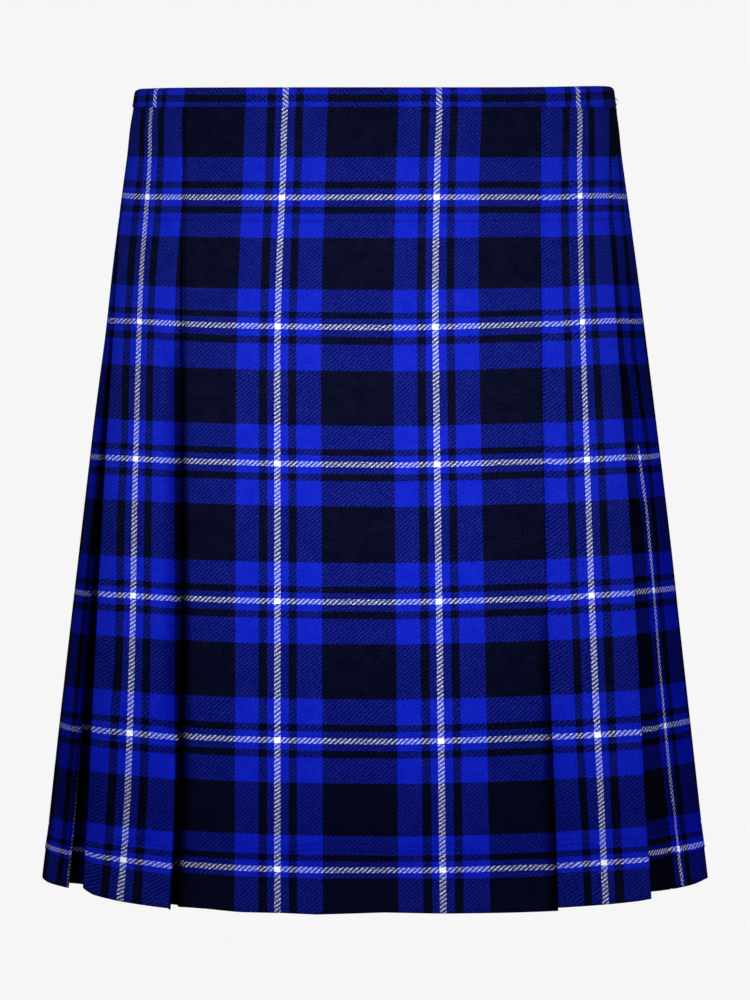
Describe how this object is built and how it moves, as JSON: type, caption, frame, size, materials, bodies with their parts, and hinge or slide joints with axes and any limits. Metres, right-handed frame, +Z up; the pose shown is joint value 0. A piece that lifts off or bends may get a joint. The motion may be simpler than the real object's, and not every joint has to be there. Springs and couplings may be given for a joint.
{
  "type": "scottish kilt",
  "caption": "Worn-form tartan kilt: broad flat front apron, knife pleats all round the sides and back, narrow waistband, open waist and hem.",
  "frame": {"origin": "centre of the waist ring at mid-height of the waistband", "axes": "+Z up from hem to waist, front apron faces -Y, +X to the viewer's right (the wearer's left)"},
  "size_m": [0.511, 0.3781, 0.611],
  "materials": {
    "front_apron": "woven 2/2 twill, matt",
    "right_pleats": "woven 2/2 twill, matt",
    "back_pleats": "woven 2/2 twill, matt",
    "left_pleats": "woven 2/2 twill, matt",
    "waistband": "woven 2/2 twill, matt",
    "waist_eye": "satin wire"
  },
  "bodies": {
    "root": {"front_apron": "front_apron", "right_pleats": "right_pleats", "back_pleats": "back_pleats", "left_pleats": "left_pleats", "waistband": "waistband", "waist_eye": "waist_eye"}
  },
  "joints": []
}
